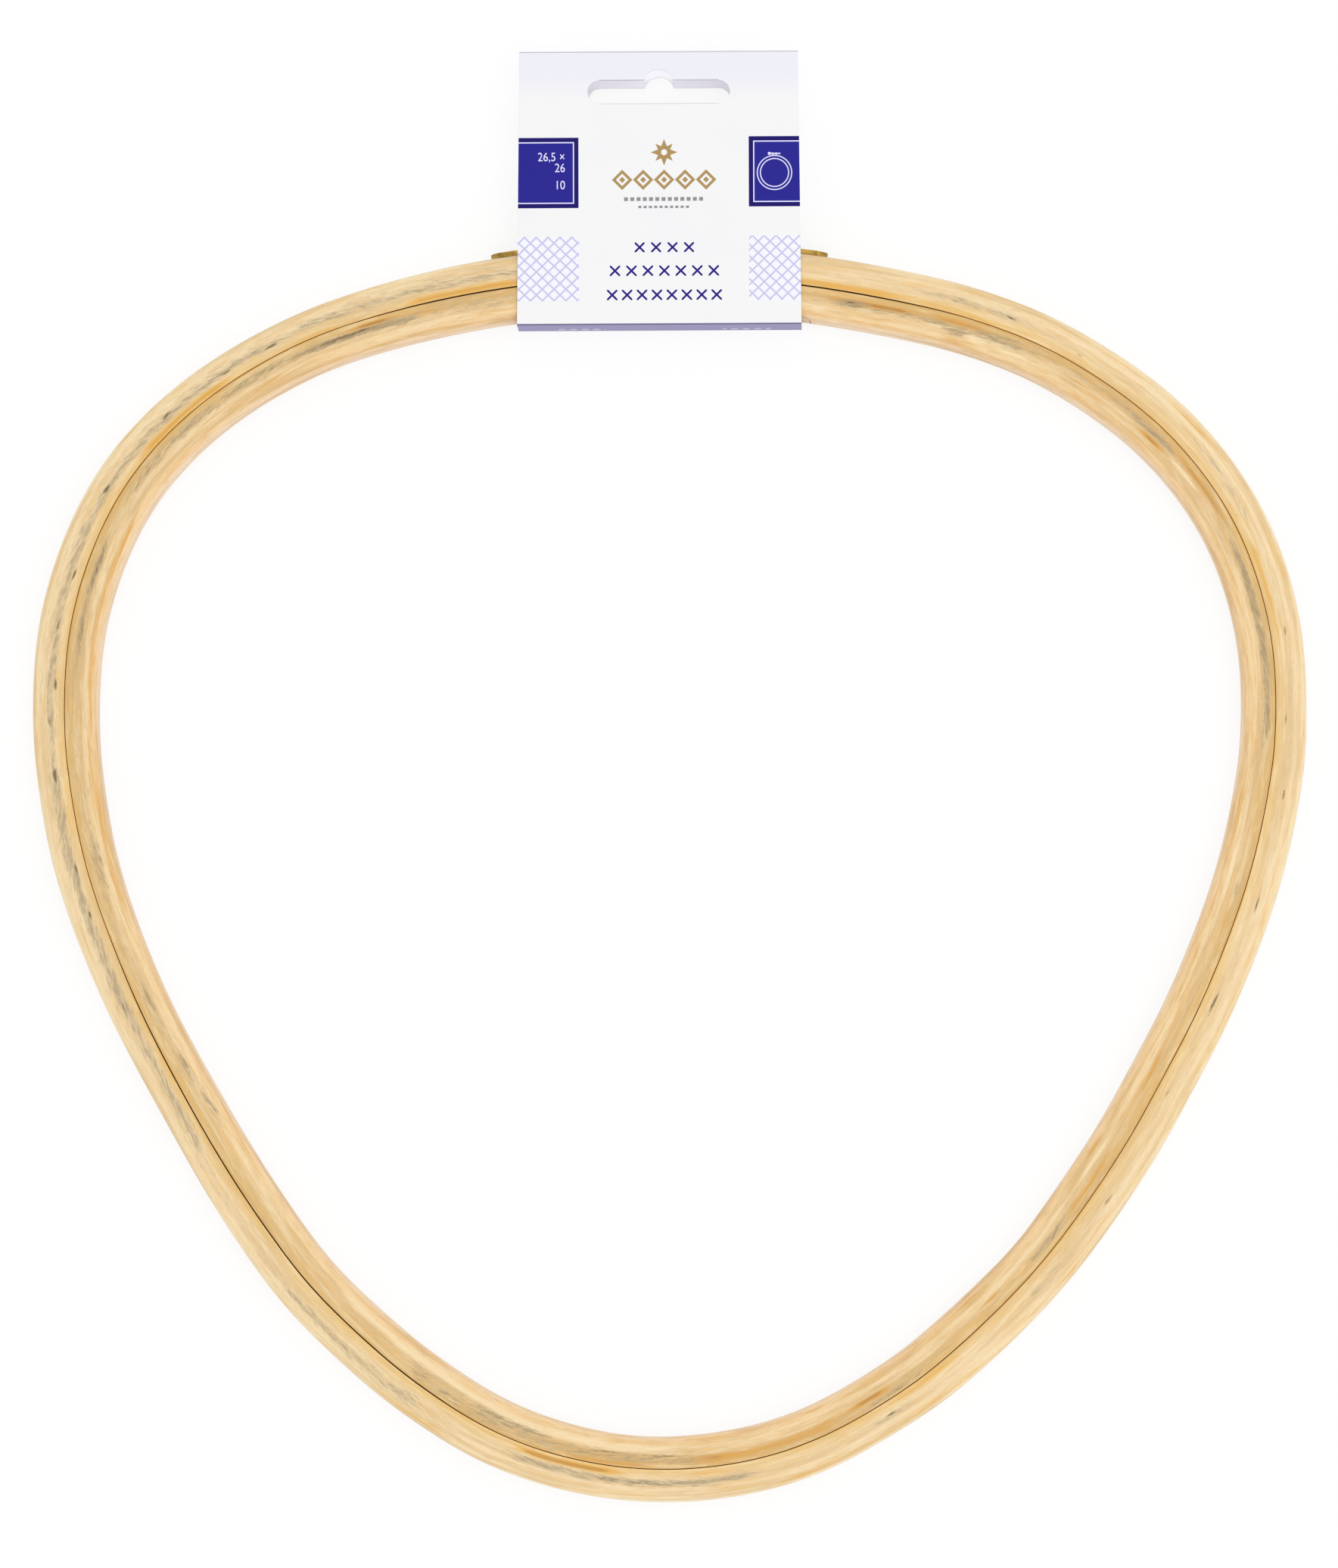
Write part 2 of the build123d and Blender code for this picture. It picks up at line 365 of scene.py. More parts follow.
def bentStrip(name, look, start, end):
    # wooden strip: the section carried along the outline from start to end, each point at
    # outline(along, section's offset) and the section's height
    section = roundedSection(*look["offsets"], hoop["bottom"], hoop["top"], *look["rounds"],
                             hoop["arcSteps"], hoop["edgeSteps"], hoop["crown"])
    closed = end - start >= hoopLength
    along = np.linspace(start, end, hoop["stations"] + 1)
    stations = (along[:-1] if closed else along)[:, None]
    seamParts = [dark * rise(stations, low, high, hoop["seamFade"]) for low, high, dark in hoop["seam"]]
    tone = np.clip(sum(seamParts), 0, 1)
    offset = section[None, :, 0] * (1 - swell(look["thin"], stations) / look["width"])
    offset = offset + look["side"] * hoop["openSeam"] * (tone - 1) + swell(hoop["bends"], stations)
    x, y = hoopPlace(stations, offset)
    z = np.broadcast_to(section[None, :, 1], x.shape)
    points = np.stack([x, y, z], axis=-1) * mm
    steps = np.linalg.norm(np.diff(np.vstack([section, section[:1]]), axis=0), axis=1)
    around = np.concatenate([[0], np.cumsum(steps)])
    depth = np.broadcast_to(section[None, :, 1] - (hoop["bottom"] + hoop["top"]) / 2, x.shape)
    inward = np.broadcast_to(section[None, :, 0] * look["side"], x.shape)
    onTop = np.clip(depth / 2, 0, 1)
    place = np.stack([inward, depth, np.broadcast_to(tone, x.shape)], axis=-1)
    figure = [streakField(look[kind], stations, inward) * onTop for kind in ("amber", "grey", "cream")]
    marks = {"place": place, "figure": np.stack(figure, axis=-1),
             "fleck": streakField(look["flecks"], stations, inward) * onTop}
    return skin(name, points, wrapRows=closed, wrapColumns=True, caps=not closed,
                flow=(np.append(along, along[-1]) * mm, around * mm), marks=marks)


# Wood

grain = {
    # kinds of streak in mm: length, width, seed, detail, roughness and share of the ring's slant
    "broad": (38, 1.7, 1, 2.0, 0.5, 0),
    "middling": (13, 0.7, 2, 3.0, 0.62, 0),
    "fibre": (5, 0.22, 3, 2.0, 0.6, 0),
    "mottle": (1.3, 0.24, 4, 3.0, 0.7, 1),
    "wisp": (7, 0.34, 5, 3.0, 0.7, 0.5),
    "speckle": (2.6, 0.42, 6, 2.0, 0.65, 1.6),
    "short": (4.5, 0.8, 7, 3.0, 0.6, 0),
    "fleck": "#6B5836",
    "wall": "#E4C28D",          # of the faces that meet at the seam
    # painted shade in the seam: orange-brown where it is tight, dark brown where it is open
    "tightSeamShade": "#C6882E",
    "openSeam": "#3A1705",
    "glue": "#8A5F30",
    "scarfStart": 6.0,          # the glued joint slants across the strip from here
    "scarfSlope": 24 / 7,
    "tanShare": 0.6,
    "goldShare": 0.55,
}


def woodFinish(name, look):
    # Pale bent wood. Every noise is read at (distance along the strip, across it, depth), long in the first
    # and narrow in the others, so that the grain follows the bend.
    wood = Finish(name, {"Roughness": 0.5, "IOR": 1.45, "Specular IOR Level": 0.25})
    place = wood.add("ShaderNodeAttribute", {"attribute_name": "place"}, output="Vector")
    figure = wood.add("ShaderNodeAttribute", {"attribute_name": "figure"}, output="Vector")
    mark = wood.add("ShaderNodeAttribute", {"attribute_name": "fleck"}, output="Fac")
    across, depth, seamShadeShare = wood.split(place)
    amber, grey, cream = wood.split(figure)
    along = wood.split(wood.add("ShaderNodeUVMap", {"uv_map": "flow"}))[0] / mm
    if look["scarf"]:
        # past the slanting glued joint of the strip's ends the grain is another piece's
        beyond = along - grain["scarfStart"] - across * grain["scarfSlope"]
        jump = beyond.ease(-0.03, 0.03) * hoopLength
        along = along + jump

    drift = wood.join(along * (1 / 70), across * 0.05, depth * 0.05)
    wander = (wood.noise(drift, (1, 1, 1), (look["seed"], 0, 0)) - 0.5) * look["wander"]
    course = across + wander

    def streaks(kind):
        length, width, seed, detail, roughness, slant = grain[kind]
        run = course + along * (slant * look["slant"]) if slant else course
        vector = wood.join(along * (1 / length), run * (1 / width), depth * (1 / width))
        shift = tuple((look["seed"] + seed) * step for step in (3.7, 5.3, 7.1))
        return wood.noise(vector, (1, 1, 1), shift, detail, roughness)

    broad, middling, fibre, short = [streaks(kind) for kind in ("broad", "middling", "fibre", "short")]
    wisp, mottle, speckle = [streaks(kind) for kind in ("wisp", "mottle", "speckle")]

    # plain wood: bands across the strip, palest at the rounded rim away from the seam, partly the wood's
    # tone and partly a painted highlight on that rounded edge; then tan, gold and cream streaks
    reach = (across + wander * 0.35) / look["width"]
    wood.colour = wood.add("ShaderNodeValToRGB", {"stops": look["bands"]}, {0: reach})
    wood.lay(broad.ease(0.48, 0.64) * grain["tanShare"], look["tan"])
    wood.lay(middling.ease(0.5, 0.66) * grain["goldShare"], look["gold"])
    wood.lay((broad * 0.5 + middling * 0.5).ease(0.49, 0.38) * look["creamShare"], look["creamTone"])
    wood.lay(short.ease(0.5, 0.7) * 0.35, look["tan"])
    wood.lay(short.ease(0.48, 0.3) * 0.3, look["creamTone"])
    wood.lay(fibre.ease(0.52, 0.74) * 0.3, look["line"])
    wood.lay(fibre.ease(0.46, 0.28) * 0.25, look["creamTone"])

    # amber, cream and grey stains with ragged edges, and dark flecks
    rough = (middling - 0.5) * 1.1 + (wisp - 0.5) * 1.6
    amberTone = wood.mix(amber.ease(1.0, 1.5), paint(look["amberTone"]), paint(look["deepAmber"]))
    wood.colour = wood.mix((amber + rough * 0.8).ease(0.15, 1.15) * 0.9, wood.colour, amberTone)
    wood.lay((cream + rough * 0.8).ease(0.2, 1.0) * 0.8, look["creamTone"])
    broken = (speckle - 0.5) * 2.1 + (mottle - 0.5) * 0.8 + (wisp - 0.5) * 0.9
    wood.lay((grey + broken).ease(0.15, 1.1) * 0.75, look["greyTone"])
    veil = speckle * 0.6 + mottle * 0.2 + wisp * 0.2 + (grey.least(1.2) - 0.5) * 0.2
    wood.lay(veil.ease(0.5, 0.72) * grey.ease(0.05, 0.7) * 0.55, look["dashTone"])
    wood.lay(mottle.ease(0.5, 0.8) * 0.18, look["line"])
    strayed = mottle.ease(0.62, 0.8) * abs(across - look["poreMiddle"]).ease(2.6, 0.6)
    wood.lay(strayed * 0.4, look["dashTone"])
    fleck = (mark + (mottle - 0.5) * 1.3 + (wisp - 0.5) * 1.2).ease(0.3, 1.0)
    wood.lay(fleck * 0.8, grain["fleck"])

    # the walls that face each other across the seam are plain wood, and their upper edge is painted with
    # seam shade, orange-brown where the seam is tight and dark brown where it is open
    wood.lay(across.ease(0.25, 0.1) * depth.ease(4.0, 3.2) * 0.75, grain["wall"])
    seamShadeColour = wood.mix(seamShadeShare, paint(grain["tightSeamShade"]), paint(grain["openSeam"]))
    wood.colour = wood.mix(across.ease(0.2, 0.1) * depth.ease(3.4, 4.0), wood.colour, seamShadeColour)
    if look["scarf"]:
        wood.lay(abs(beyond + jump).ease(0.5, 0.2) * 0.7, grain["glue"])
    wood.feed("Base Color", wood.colour)
    wood.feed("Roughness", 0.46 + fibre * 0.14 + fleck * 0.15)
    wood.emboss(fibre * 0.6 + mottle * 0.3 - fleck * 0.6, 0.2, 0.0001)
    return wood


outerHoop = {
    "offsets": (0.1, 6.8),
    # thinner stretches: (place, half length, by how much)
    "thin": ((88, 16, 0.2), (170, 14, 0.3), (345, 12, 0.25), (522, 28, 0.75), (702, 30, 0.6)),
    "rounds": (0.14, 2.2),
    "side": 1,
    "start": -0.523,            # the strip's ends stand at the clamp, 5 mm apart
    "gap": 4.92,
    "flexFrom": -4.2,           # the strip bends between these two x at the tip when the clamp opens
    "flexTo": 0.65,
    # wood figure; each streak is (from, to, distance from the seam, half width, strength) in mm
    "amber": (
        (0, 50, 0.8, 0.8, 1.1), (48, 80, 0.8, 0.6, 0.6), (134, 162, 1.3, 0.6, 0.9),
        (322, 345, 0.9, 0.6, 0.9), (376, 390, 1.2, 0.6, 0.6), (392, 470, 0.7, 0.7, 0.4),
        (398, 424, 1.3, 0.6, 1.5), (480, 545, 0.7, 0.5, 0.4), (660, 690, 0.9, 0.8, 1.25),
        (698, 716, 0.6, 0.6, 0.7), (724, 779, 0.9, 0.8, 1.25), (66, 90, 5.5, 0.25, 0.6),
        (104, 120, 5.1, 0.3, 0.9), (212, 220, 5.7, 0.25, 0.7), (290, 304, 5.9, 0.25, 0.7),
        (318, 374, 5.8, 0.35, 0.8), (432, 458, 5.9, 0.3, 0.9), (514, 530, 5.0, 0.3, 0.5)),
    "grey": (
        (49, 78, 3, 0.78, 0.8), (110, 138, 3, 0.65, 0.6), (290, 311, 3.1, 1.04, 0.6),
        (334, 350, 3, 0.78, 0.8), (370, 426, 2.9, 0.91, 1.1), (438, 452, 3.7, 1.2, 0.5),
        (446, 482, 4.1, 0.91, 0.5), (508, 545, 2.5, 0.91, 0.8), (538, 600, 2.8, 1.04, 0.9),
        (594, 650, 2.8, 0.91, 0.6), (644, 704, 2.7, 0.78, 0.6), (700, 760, 3, 0.91, 0.5),
        # these two broad faint streaks darken the left side of the ring: partly the wood's tone, partly
        # painted shade
        (430, 600, 3.6, 2, 0.3), (600, 770, 3.4, 2.4, 0.38)),
    "cream": (
        (60, 130, 4.3, 0.6, 0.2), (150, 280, 4.6, 0.8, 0.4), (440, 560, 5.4, 0.8, 0.6),
        (560, 645, 5.4, 0.8, 0.45), (300, 360, 4.6, 0.6, 0.5)),
    "flecks": (
        (68.6, 71.9, 3, 0.26, 1), (84.6, 87.4, 2.1, 0.26, 0.8), (120.6, 124.4, 3, 0.26, 0.7),
        (155.6, 159.4, 3.2, 0.26, 0.9), (173.6, 177.4, 2.2, 0.26, 0.8),
        (188.6, 192.4, 3.3, 0.26, 1), (210.6, 216.4, 3.3, 0.33, 0.9), (231.6, 239.4, 2.4, 0.39, 1),
        (254.6, 257.4, 2.4, 0.26, 0.8), (278.6, 283.4, 3.3, 0.26, 0.9),
        (340.6, 345.4, 2.8, 0.33, 0.8), (385.6, 408.4, 2.9, 0.45, 0.6),
        (542.6, 546.4, 3.1, 0.26, 0.9), (562.6, 566.4, 2.3, 0.29, 1),
        (572.6, 576.4, 2.2, 0.29, 1.1), (591.6, 596.4, 2.8, 0.45, 1.3),
        (602.6, 607.4, 3.2, 0.33, 0.8), (610.6, 614.4, 2, 0.33, 1.3), (622.6, 626.4, 2.6, 0.33, 1),
        (633.6, 636.9, 1.9, 0.29, 1.2), (651.6, 655.4, 3, 0.39, 1.1),
        (670.6, 674.4, 3.1, 0.33, 1.1), (685.6, 689.4, 2.5, 0.33, 1),
        (695.6, 700.4, 2.4, 0.33, 1.1)),
    "seed": 3.0,
    "width": 6.8,
    "wander": 2.4,
    "slant": 0.1,
    # tone across the strip from the seam out to the far rim; its palest stops at the rim are partly a
    # painted highlight
    "bands": (
        (0.0, "#E0B368"), (0.08, "#E9C480"), (0.2, "#EDCC93"), (0.35, "#EACD9C"), (0.5, "#EBD0A3"),
        (0.62, "#F1D6A9"), (0.8, "#F4D9AA"), (0.9, "#FAE3B8"), (1.0, "#FFECC8")),
    "tan": "#DDBD8B",
    "gold": "#EBBE74",
    "creamTone": "#FAE4BB",
    "creamShare": 0.4,
    "line": "#CFA768",
    "amberTone": "#E6AF52",
    "deepAmber": "#C79142",
    "greyTone": "#CFBA96",
    "dashTone": "#958465",
    "poreMiddle": 3.1,
    "scarf": False,
}
innerHoop = {
    "offsets": (-6.9, -0.1),
    "thin": ((300, 10, 0.3), (398, 14, 0.3), (480, 24, 0.4), (552, 36, 0.7)),
    "rounds": (2.4, 0.14),
    "side": -1,
    "amber": (
        (30, 54, 1.9, 0.6, 1.6), (52, 135, 1.7, 1, 0.42), (50, 70, 1.6, 0.7, 0.8),
        (55, 69, 5.4, 0.5, 0.7), (83, 95, 3.2, 0.2, 0.8), (85, 97, 5.5, 0.25, 0.8),
        (104, 114, 3.5, 0.5, 1.5), (113, 135, 1.8, 0.5, 0.9), (108, 160, 5.4, 0.5, 0.25),
        (186, 224, 5.4, 0.4, 0.9), (213, 223, 1.9, 0.5, 0.8), (221, 242, 5.2, 0.35, 0.8),
        (246, 263, 2.6, 0.5, 1.0), (267, 292, 1.8, 0.7, 0.9), (268, 280, 5.2, 0.4, 1.1),
        (308, 316, 2.6, 0.4, 1.0), (308, 322, 5.6, 0.3, 0.7), (337, 353, 2.3, 0.6, 1.45),
        (350, 386, 1.8, 1.0, 0.9), (376, 420, 2.1, 1.3, 0.62), (353, 361, 5.6, 0.35, 0.7),
        (390, 414, 0.6, 0.5, 0.9), (560, 655, 5.3, 0.7, 0.75), (678, 702, 4.2, 0.4, 0.6),
        (712, 727, 1.3, 0.45, 1.8), (724, 738, 1.8, 0.4, 0.9)),
    "grey": (
        (28, 78, 2.6, 0.9, 0.7), (722, 775, 2.4, 1.4, 0.5), (60, 165, 1.8, 1, 0.45),
        (34, 41, 2.2, 0.78, 1.1), (57, 63, 3.7, 0.78, 1), (99, 117, 2.2, 0.52, 0.8),
        (134, 160, 2.3, 0.65, 1), (155, 184, 1.9, 0.91, 1.1), (209, 215, 1.9, 0.52, 1),
        (286, 304, 1.8, 0.78, 1), (328, 350, 0.9, 0.65, 0.8), (378, 416, 2, 1.43, 0.7),
        (410, 452, 1.8, 1.56, 0.7), (414, 434, 3.1, 0.4, 0.9), (511, 527, 4, 1.17, 0.8),
        (524, 534, 3.5, 0.65, 0.8), (538, 549, 2.8, 0.4, 0.8), (565, 584, 3, 1.04, 0.6),
        (616, 631, 2.3, 0.52, 1), (629, 647, 2.2, 0.52, 1.2), (653, 704, 1.9, 0.91, 0.9),
        # the last of these, broad and faint, darkens the left side of the ring: partly the wood's tone,
        # partly painted shade
        (699, 730, 2.3, 0.72, 1.5), (520, 660, 2.4, 1.8, 0.35)),
    "cream": (
        (26, 35, 4.2, 0.6, 0.9), (61, 68, 3.9, 0.6, 1.3), (67, 77, 4.2, 0.5, 0.9),
        (112, 126, 3.2, 0.4, 1.1), (198, 218, 4.0, 0.6, 0.8), (266, 284, 3.9, 0.5, 1.0),
        (284, 316, 4.0, 0.8, 0.6), (384, 474, 4.3, 1.0, 0.8)),
    "flecks": (
        (35.6, 39.4, 2.1, 0.29, 0.8), (246.6, 250.4, 5.3, 0.26, 0.8),
        (561.6, 567.4, 2.3, 0.26, 0.6), (702.6, 723.4, 2.2, 0.39, 0.9),
        (631.6, 646.4, 2.3, 0.29, 0.7), (619.6, 628.4, 2.6, 0.26, 0.6),
        (384.6, 410.4, 2.9, 0.26, 0.6)),
    "seed": 11.0,
    "width": 6.9,
    "wander": 2.2,
    "slant": 0.08,
    # tone across the strip from the seam out to the far rim; its palest stops at the rim are partly a
    # painted highlight
    "bands": (
        (0.0, "#D0A25C"), (0.1, "#DDB877"), (0.25, "#DBB97E"), (0.38, "#E1C08C"), (0.5, "#ECCE9D"),
        (0.62, "#F1D4A4"), (0.75, "#F1D09B"), (0.86, "#F2CC9A"), (0.94, "#F4D4AB"),
        (1.0, "#F8E0C4")),
    "tan": "#D2AE78",
    "gold": "#E8B870",
    "creamTone": "#F8E1B6",
    "creamShare": 0.38,
    "line": "#C69E62",
    "amberTone": "#DAA24E",
    "deepAmber": "#B8823F",
    "greyTone": "#C3AB84",
    "dashTone": "#8F7D5C",
    "poreMiddle": 2.3,
    "scarf": True,
}


def makeHoops():
    start = outerHoop["start"]
    outer = bentStrip("outer_hoop_strip", outerHoop, start, start + hoopLength - outerHoop["gap"])
    wood = woodFinish("outer_wood_grain", outerHoop)
    finishPiece(outer, None, wood, ["outer_hoop_left", "outer_hoop_right"])
    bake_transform(outer)
    inner = bentStrip("inner_hoop_strip", innerHoop, 0.0, hoopLength)
    wood = woodFinish("inner_wood_grain", innerHoop)
    finishPiece(inner, "inner_ring", wood, ["inner_hoop"])
    print("hoops bent, outline", round(hoopLength, 1), "mm long")


makeHoops()


# Card sleeve

card = {
    "centreX": -1.79264,
    "foldY": 93.11175,
    "topY": 150.35117,
    "width": 59.1,
    "topWidth": 58.0,
    "thickness": 0.39,          # 0.01 mm of the solid's thickness is left for the raised ink
    "frontFloor": 9.6,
    "slotY": 141.85117,
    "slotWidth": 29.6,
    "slotHeight": 4.8,
    "humpRadius": 3.15,
    "humpRise": 1.55,           # of its centre above the slot's middle
    "edgeRound": 0.07,
    "foldRound": 0.3,
    "spineFoot": 0.34,          # a little inside the back panel
    "spineRound": 0.06,
    "stationsPerSide": 150,
    "shares": (0.012, 0.2, 0.4, 0.6, 0.8, 0.988, 1.0),      # rows of a panel's face, out to the slot's rim
}


def slotReach(angle):
    # distance from the slot's middle to its rim in each direction: the further one of a slot with
    # round ends and of the hump's circle
    half = card["slotHeight"] / 2
    run = card["slotWidth"] / 2 - half
    sine, cosine = np.sin(angle), np.cos(angle)
    flat = half / np.maximum(np.abs(sine), 1e-9)
    side = np.abs(cosine) * run
    rounded = side + np.sqrt(np.maximum(side ** 2 - run ** 2 + half ** 2, 0))
    slotRim = np.where(np.abs(flat * cosine) <= run, flat, rounded)
    lift = card["humpRise"]
    inReach = (lift * sine) ** 2 - lift ** 2 + card["humpRadius"] ** 2
    humpRim = lift * sine + np.sqrt(np.maximum(inReach, 0))
    return np.maximum(slotRim, humpRim)


def panelOutline(insets):
    # the panel's four-sided outline, each side moved inwards by its own amount (bottom, right, top, left)
    # and divided evenly; the points run anticlockwise
    half, topHalf = card["width"] / 2, card["topWidth"] / 2
    bottom, right, top, left = insets
    lowY, highY = card["foldY"] + bottom, card["topY"] - top
    slope = (topHalf - half) / (card["topY"] - card["foldY"])

    def sideX(y, inset):
        return half + slope * (y - card["foldY"]) - inset

    corners = np.array([(-sideX(lowY, left), lowY), (sideX(lowY, right), lowY),
                        (sideX(highY, right), highY), (-sideX(highY, left), highY)])
    share = np.arange(card["stationsPerSide"])[:, None] / card["stationsPerSide"]
    sides = [a * (1 - share) + b * share for a, b in zip(corners, np.roll(corners, -1, axis=0))]
    return np.vstack(sides)


def cardPanel(name, bottom, foldOnTop):
    # card with a slot: in each direction the section runs up the outer edge, over the front to the rim of
    # the slot, down the rim and back underneath; every flat point = outline * (1 - share) + rim * share
    top = bottom + card["thickness"]
    edge, fold = card["edgeRound"], card["foldRound"]
    middle = np.array([0, card["slotY"]])
    base = panelOutline((0, 0, 0, 0))
    angle = np.arctan2(base[:, 1] - middle[1], base[:, 0])
    reach = slotReach(angle)
    direction = np.column_stack([np.cos(angle), np.sin(angle)])
    atFold = np.arange(len(base)) < card["stationsPerSide"]
    topRound = np.where(atFold & foldOnTop, fold, edge)
    bottomRound = np.where(atFold & (not foldOnTop), fold, edge)
    ring = []

    def outlineRow(rounds, turn, level, sign):
        inset = rounds * (1 - math.cos(turn))
        foldInset, sideInset = inset[0], inset[-1]
        flat = panelOutline((foldInset, sideInset, sideInset, sideInset))
        ring.append(np.column_stack([flat, level - sign * rounds * (1 - math.sin(turn))]))

    def rimRows(turns, level, sign):
        for turn in np.radians(turns):
            rim = middle + direction * (reach + edge * (1 - math.cos(turn)))[:, None]
            height = level + sign * edge * (1 - math.sin(turn))
            ring.append(np.column_stack([rim, np.full(len(base), height)]))

    def faceRows(shares, rounds, level):
        outline = panelOutline((rounds[0], rounds[-1], rounds[-1], rounds[-1]))
        rim = middle + direction * (reach + edge)[:, None]
        for share in shares:
            ring.append(np.column_stack([outline * (1 - share) + rim * share, np.full(len(base), level)]))

    for turn in np.radians([90, 60, 30, 0]):
        outlineRow(bottomRound, turn, bottom, -1)
    for turn in np.radians([0, 22.5, 45, 67.5, 90]):
        outlineRow(topRound, turn, top, 1)
    faceRows(card["shares"], topRound, top)
    rimRows((60, 30, 0), top, -1)
    rimRows((0, 30, 60), bottom, 1)
    faceRows(card["shares"][::-1], bottomRound, bottom)
    points = np.stack(ring, axis=1)
    points[:, :, 0] += card["centreX"]
    return skin(name, points * mm, wrapRows=True, wrapColumns=True, sharp=35)


def cardSpine():
    # narrow fold between the panels: a rounded section in y and z carried straight along x
    low, high = card["foldY"], card["foldY"] + card["thickness"]
    edge = card["spineRound"]
    section = roundedSection(low, high, card["spineFoot"], card["frontFloor"], edge, edge, 3, (2, 8, 2, 8))
    middle = section.mean(axis=0)
    half = card["width"] / 2
    x = np.concatenate([[-half, -half + edge], np.linspace(-half + 1, half - 1, 40), [half - edge, half]])
    inset = np.zeros(len(x))
    inset[[0, -1]] = edge
    size = np.abs(section - middle).max(axis=0)
    scale = 1 - inset[:, None, None] / size
    flat = middle + (section - middle) * scale
    across = np.broadcast_to((x + card["centreX"])[:, None, None], flat.shape[:2] + (1,))
    points = np.concatenate([across, flat], axis=-1) * mm
    return skin("card_spine_sheet", points, wrapColumns=True, caps=True, sharp=35)


cardPrint = {
    # colours
    "board": "#F3F3F4",
    "boardCloud": "#EDEDF1",
    "paintedTopShade": "#ECECF5",
    "rawEdge": "#E9E7E4",
    "inside": "#F4F2FA",
    "insideCloud": "#E4E3E8",
    "paintedSlotLight": "#5A596A",          # painted light: the inside face glows this colour between the panels, and more of it behind the slot's hump
    "paintedHumpLight": "#8D8D90",
    "blue": "#25228F",
    "darkBlue": "#180D68",
    "stitch": "#1F1580",
    "pale": "#E4E1FF",
    "lattice": "#C5C5E9",
    "latticeGround": "#F4F4FB",
    "gold": "#B0925E",
    "grey": "#77767C",
    "violet": "#9D96C0",
    "creaseVioletShade": "#8A82A6",
    "creaseShadow": "#57506F",
    "spineMark": "#F0EFF6",
    "edgeGrey": "#BDBCC6",
    # places in mm; a box is (left, right, bottom, top), and one that ends at 40 or -40 runs off the card
    "topShadeRise": (139.5, 146.5),     # y where the painted shade of the top starts and is full
    "soft": 0.035,              # half width of a printed edge
    "column": -0.7,             # x of the middle of the printed column
    "panels": ((-40.0, -18.5, 117.53, 132.3), (16.89, 40.0, 117.69, 132.42)),
    "border": 0.92,
    "borderLine": 0.24,
    "lattices": (((-40.0, -18.45, 98.08, 111.55), (-29.76, 111.42)),      # box, and a crossing of its lines
                 ((16.92, 40.0, 98.16, 111.60), (17.57, 111.60))),
    "cell": (2.46, 2.41),       # width and height of the lattice's lozenges
    "latticeFade": (0.1566, 0.0348),    # how far from its middle a line is gone and is full, in cells
    "pictogram": (22.24, 124.79),
    "rings": (3.57, 2.93),
    "ringHalf": 0.11,
    "clampBoxes": ((-1.25, 1.25, 3.86, 4.12), (-1.35, -0.75, 3.72, 4.28),
                   (-0.45, -0.25, 3.5, 4.2), (0.25, 0.45, 3.5, 4.2)),     # from the pictogram's middle
    # rows of stitches: count, pitch, bottom, top
    "stitches": ((4, 3.42, 108.2, 110.3), (7, 3.42, 103.25, 105.45), (8, 3.1, 98.2, 100.4)),
    "stitchHalf": 0.3,
    # rows of dashes: half length, pitch, where in the pitch a dash ends, bottom, top
    "dashes": ((8.45, 1.3, 0.72, 118.95, 119.75), (5.5, 1.1, 0.7, 117.45, 117.95)),
    "starY": 129.15,
    "starTaper": 2.6,
    "starReach": (2.8, 2.55),   # of its upright and its slanting points
    "starHeart": (0.42, 0.36),
    "chain": (5, 4.36, 123.4),  # links, pitch, y
    "chainRadius": 1.72,
    "chainHalf": 0.42,
    "chainDot": 0.65,
    "chainRise": 2.3,
    "spinePitch": 2.4,
    "spineLevel": 2.6,
    "spineGroups": ((-23.1, -13.1), (11.3, 21.3)),
}


def cardGrain(sheet, place, shift):
    # fine tooth of the card's surface, and slow clouds in its whiteness
    return sheet.noise(place, (5200, 5200, 5200), detail=3.0), sheet.noise(place, (60, 60, 60), shift)


